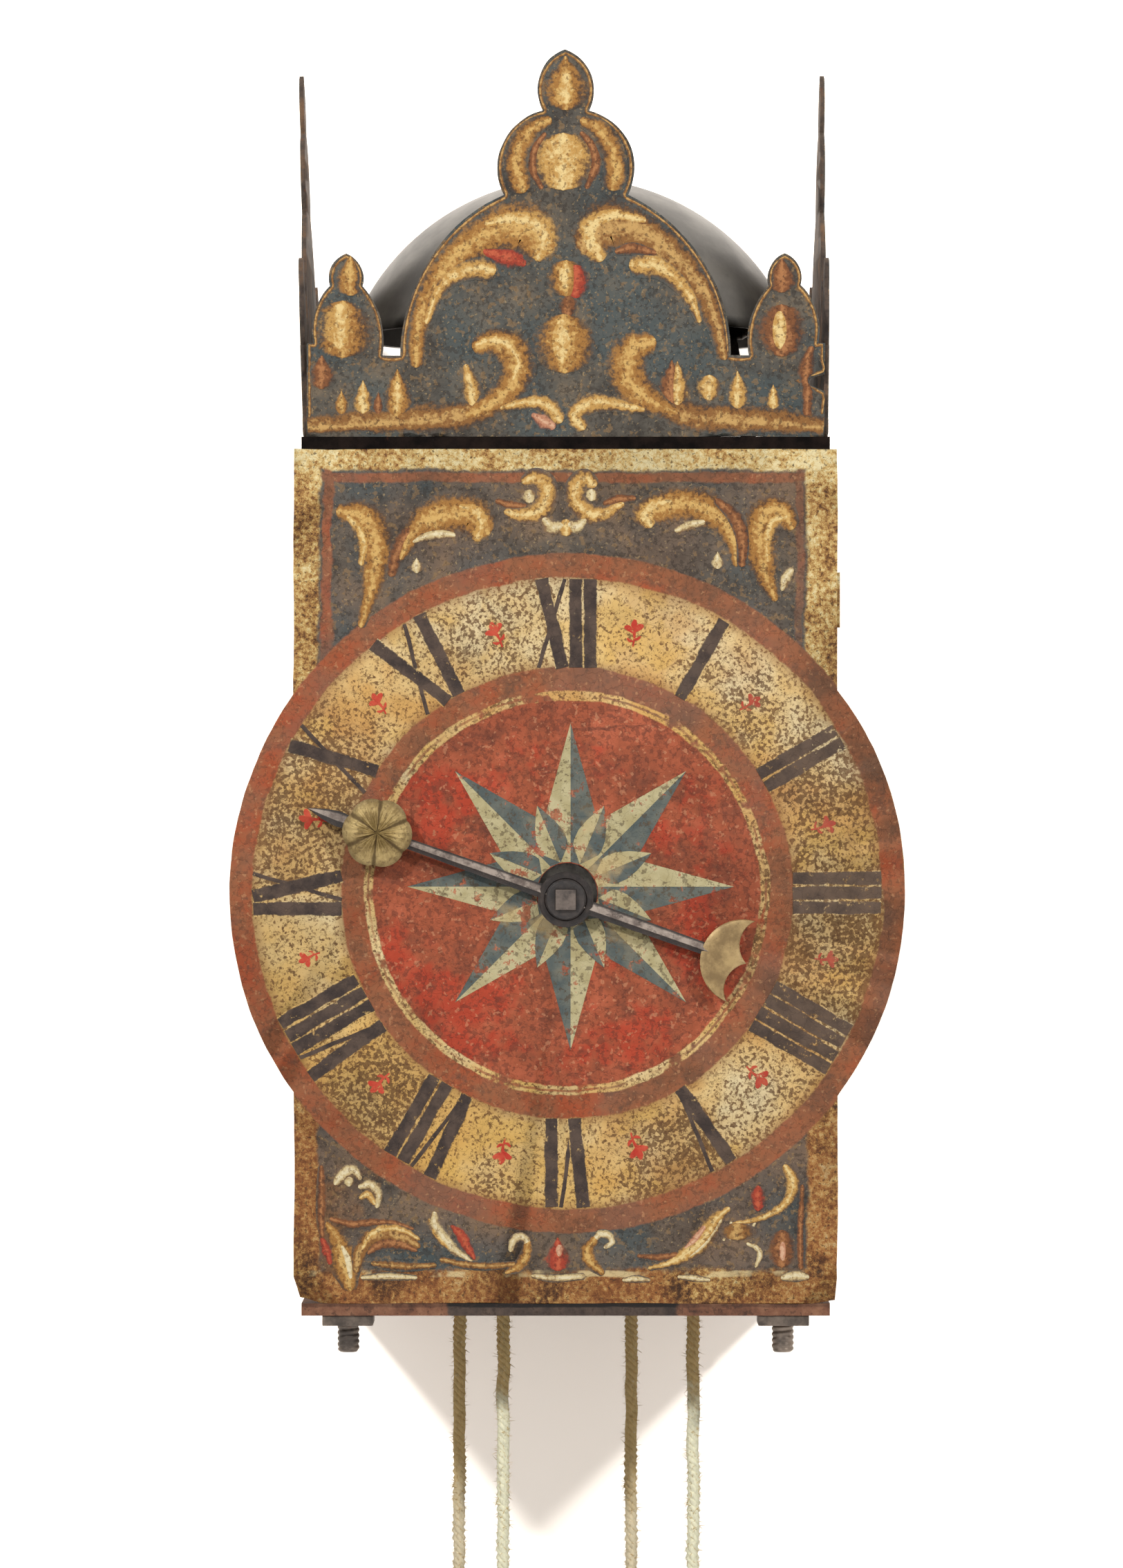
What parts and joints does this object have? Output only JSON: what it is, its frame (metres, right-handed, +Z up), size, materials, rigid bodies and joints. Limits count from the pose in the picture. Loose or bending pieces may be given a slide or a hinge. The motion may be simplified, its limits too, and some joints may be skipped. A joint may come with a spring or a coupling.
{
  "type": "wall clock",
  "caption": "Weight-driven iron wall clock: posted frame, painted dial plate with one hour hand, cut-out crests, bowl bell on top, foliot escapement, striking train, ropes and weights.",
  "frame": {"origin": "centre of the hanging eye, in the plane of the wall", "axes": "+Z up, +Y into the wall, so the dial faces -Y; +X to the right as one faces the dial"},
  "size_m": [0.22, 0.1794, 0.6351],
  "materials": {
    "painted plate": "painted sheet iron, worn",
    "painted crest": "painted sheet iron, worn",
    "painted door": "painted sheet iron, worn",
    "wrought iron": "forged iron, dark and oiled",
    "wheel iron": "filed iron, lightly oiled",
    "hand iron": "dark painted iron",
    "gilt": "worn yellow paint",
    "bell metal": "dark patina",
    "weight iron": "cast, dark",
    "hemp": "twisted hemp rope"
  },
  "bodies": {
    "frame": {"bottom_plate": "wrought iron", "top_plate": "wrought iron", "pillars": "wrought iron", "pillar_nuts": "wrought iron", "front_bar": "wrought iron", "middle_bar": "wrought iron", "rear_bar": "wrought iron", "bar_wedges": "wrought iron", "dial_plate": "painted plate", "dial_feet": "wrought iron", "front_crest": "painted crest", "left_crest": "painted crest", "right_crest": "painted crest", "back_plate": "painted door", "hanging_hoop": "wrought iron", "top_plate_rivets": "wrought iron", "wall_spurs": "wrought iron", "bell": "bell metal", "bell_stand": "wrought iron", "bell_nut": "wrought iron", "foliot_cock": "wrought iron", "escapement_cocks": "wrought iron", "going_rope": "hemp", "strike_rope": "hemp"},
    "going_great": {"going_great_arbor": "wheel iron", "going_great_wheel": "wheel iron"},
    "going_pulley": {"going_pulley": "wheel iron"},
    "going_click": {"going_click": "wheel iron"},
    "hour": {"hour_arbor": "wheel iron", "hour_wheel": "wheel iron", "hour_hand": "hand iron", "hand_rosette": "gilt", "hand_collar": "hand iron"},
    "second": {"second_arbor": "wheel iron", "second_wheel": "wheel iron"},
    "crown": {"crown_arbor": "wheel iron", "crown_wheel": "wheel iron"},
    "verge": {"verge": "wheel iron", "foliot": "wheel iron"},
    "foliot_weight_left": {"foliot_weight_left": "wheel iron"},
    "foliot_weight_right": {"foliot_weight_right": "wheel iron"},
    "strike_great": {"strike_great_arbor": "wheel iron", "strike_great_wheel": "wheel iron", "lifting_pins": "wheel iron"},
    "strike_pulley": {"strike_pulley": "wheel iron"},
    "strike_click": {"strike_click": "wheel iron"},
    "hoop": {"hoop_arbor": "wheel iron", "hoop_wheel": "wheel iron"},
    "fly": {"fly_arbor": "wheel iron", "fly_vane": "wheel iron"},
    "count": {"count_wheel": "wheel iron"},
    "hammer": {"hammer": "wheel iron"},
    "locking_lever": {"locking_lever": "wheel iron"},
    "lifting_lever": {"lifting_lever": "wheel iron"},
    "left_door": {"left_door": "painted door"},
    "right_door": {"right_door": "painted door"},
    "going_weight": {"going_weight": "weight iron"},
    "going_counterweight": {"going_counterweight": "weight iron"},
    "strike_weight": {"strike_weight": "weight iron"},
    "strike_counterweight": {"strike_counterweight": "weight iron"}
  },
  "joints": [
    {"name": "going_great_spin", "type": "hinge", "parent": "frame", "child": "going_great", "pos_m": [0.01085, -0.11, -0.24135], "axis": [0, 1, 0], "continuous": true},
    {"name": "hour_hand_turn", "type": "hinge", "parent": "frame", "child": "hour", "pos_m": [0, -0.17, -0.1905], "axis": [0, 1, 0], "continuous": true},
    {"name": "second_spin", "type": "hinge", "parent": "frame", "child": "second", "pos_m": [-0.014, -0.141, -0.1874], "axis": [0, 1, 0], "continuous": true},
    {"name": "crown_spin", "type": "hinge", "parent": "frame", "child": "crown", "pos_m": [0, -0.141, -0.13484], "axis": [0, 1, 0], "continuous": true},
    {"name": "verge_swing", "type": "hinge", "parent": "frame", "child": "verge", "pos_m": [0, -0.11225, -0.026], "axis": [0, 0, 1], "range_deg": [-28, 28]},
    {"name": "foliot_weight_left_slide", "type": "slide", "parent": "verge", "child": "foliot_weight_left", "axis": [-1, 0, 0], "range_m": [-0.02, 0.008]},
    {"name": "foliot_weight_right_slide", "type": "slide", "parent": "verge", "child": "foliot_weight_right", "axis": [1, 0, 0], "range_m": [-0.02, 0.008]},
    {"name": "strike_great_spin", "type": "hinge", "parent": "frame", "child": "strike_great", "pos_m": [-0.0069, -0.06, -0.24135], "axis": [0, 1, 0], "continuous": true},
    {"name": "hoop_spin", "type": "hinge", "parent": "frame", "child": "hoop", "pos_m": [0.014, -0.091, -0.18575], "axis": [0, 1, 0], "continuous": true},
    {"name": "fly_spin", "type": "hinge", "parent": "frame", "child": "fly", "pos_m": [0, -0.091, -0.13319], "axis": [0, 1, 0], "continuous": true},
    {"name": "count_spin", "type": "hinge", "parent": "frame", "child": "count", "pos_m": [0.004, -0.042, -0.18215], "axis": [0, 1, 0], "continuous": true},
    {"name": "hammer_lift", "type": "hinge", "parent": "frame", "child": "hammer", "pos_m": [0.0675, -0.0689, -0.172], "axis": [0, -1, 0], "range_deg": [0, 8], "stiffness_Nm_per_rad": 0.3, "springref_deg": -8.59},
    {"name": "locking_lever_lift", "type": "hinge", "parent": "frame", "child": "locking_lever", "pos_m": [-0.0675, -0.091, -0.172], "axis": [0, -1, 0], "range_deg": [0, 8]},
    {"name": "lifting_lever_lift", "type": "hinge", "parent": "frame", "child": "lifting_lever", "pos_m": [-0.0675, -0.141, -0.172], "axis": [0, -1, 0], "range_deg": [0, 10]},
    {"name": "left_door_swing", "type": "hinge", "parent": "frame", "child": "left_door", "pos_m": [-0.0795, -0.033, -0.183], "axis": [0, 0, -1], "range_deg": [0, 100]},
    {"name": "right_door_swing", "type": "hinge", "parent": "frame", "child": "right_door", "pos_m": [0.0795, -0.033, -0.183], "axis": [0, 0, 1], "range_deg": [0, 100]},
    {"name": "going_winding", "type": "hinge", "parent": "going_great", "child": "going_pulley", "pos_m": [0.01085, -0.124, -0.24135], "axis": [0, 1, 0], "range_deg": [0, 150]},
    {"name": "going_weight_travel", "type": "slide", "parent": "frame", "child": "going_weight", "axis": [0, 0, 1], "range_m": [0, 0.08285], "deforming": ["going_rope"]},
    {"name": "going_counterweight_travel", "type": "slide", "parent": "frame", "child": "going_counterweight", "axis": [0, 0, -1], "range_m": [0, 0.08285], "deforming": ["going_rope"]},
    {"name": "going_click_lift", "type": "hinge", "parent": "going_great", "child": "going_click", "pos_m": [0.03676, -0.116, -0.21545], "axis": [0, -1, 0], "range_deg": [0, 12], "stiffness_Nm_per_rad": 0.02, "springref_deg": -11.46},
    {"name": "strike_winding", "type": "hinge", "parent": "strike_great", "child": "strike_pulley", "pos_m": [-0.0069, -0.074, -0.24135], "axis": [0, -1, 0], "range_deg": [0, 150]},
    {"name": "strike_weight_travel", "type": "slide", "parent": "frame", "child": "strike_weight", "axis": [0, 0, 1], "range_m": [0, 0.0767], "deforming": ["strike_rope"]},
    {"name": "strike_counterweight_travel", "type": "slide", "parent": "frame", "child": "strike_counterweight", "axis": [0, 0, -1], "range_m": [0, 0.0767], "deforming": ["strike_rope"]},
    {"name": "strike_click_lift", "type": "hinge", "parent": "strike_great", "child": "strike_click", "pos_m": [0.01901, -0.066, -0.21545], "axis": [0, -1, 0], "range_deg": [0, 12], "stiffness_Nm_per_rad": 0.02, "springref_deg": -11.46}
  ],
  "couplings": [
    {"joint": "hour_hand_turn", "follows": "going_great_spin", "ratio": -0.083333},
    {"joint": "second_spin", "follows": "going_great_spin", "ratio": -8},
    {"joint": "crown_spin", "follows": "going_great_spin", "ratio": 56},
    {"joint": "hoop_spin", "follows": "strike_great_spin", "ratio": -8},
    {"joint": "fly_spin", "follows": "strike_great_spin", "ratio": 56},
    {"joint": "count_spin", "follows": "strike_great_spin", "ratio": -0.10256},
    {"joint": "going_winding", "follows": "going_weight_travel", "rad_per_m": 31.596},
    {"joint": "going_counterweight_travel", "follows": "going_weight_travel", "ratio": 1},
    {"joint": "strike_winding", "follows": "strike_weight_travel", "rad_per_m": 34.13},
    {"joint": "strike_counterweight_travel", "follows": "strike_weight_travel", "ratio": 1}
  ]
}
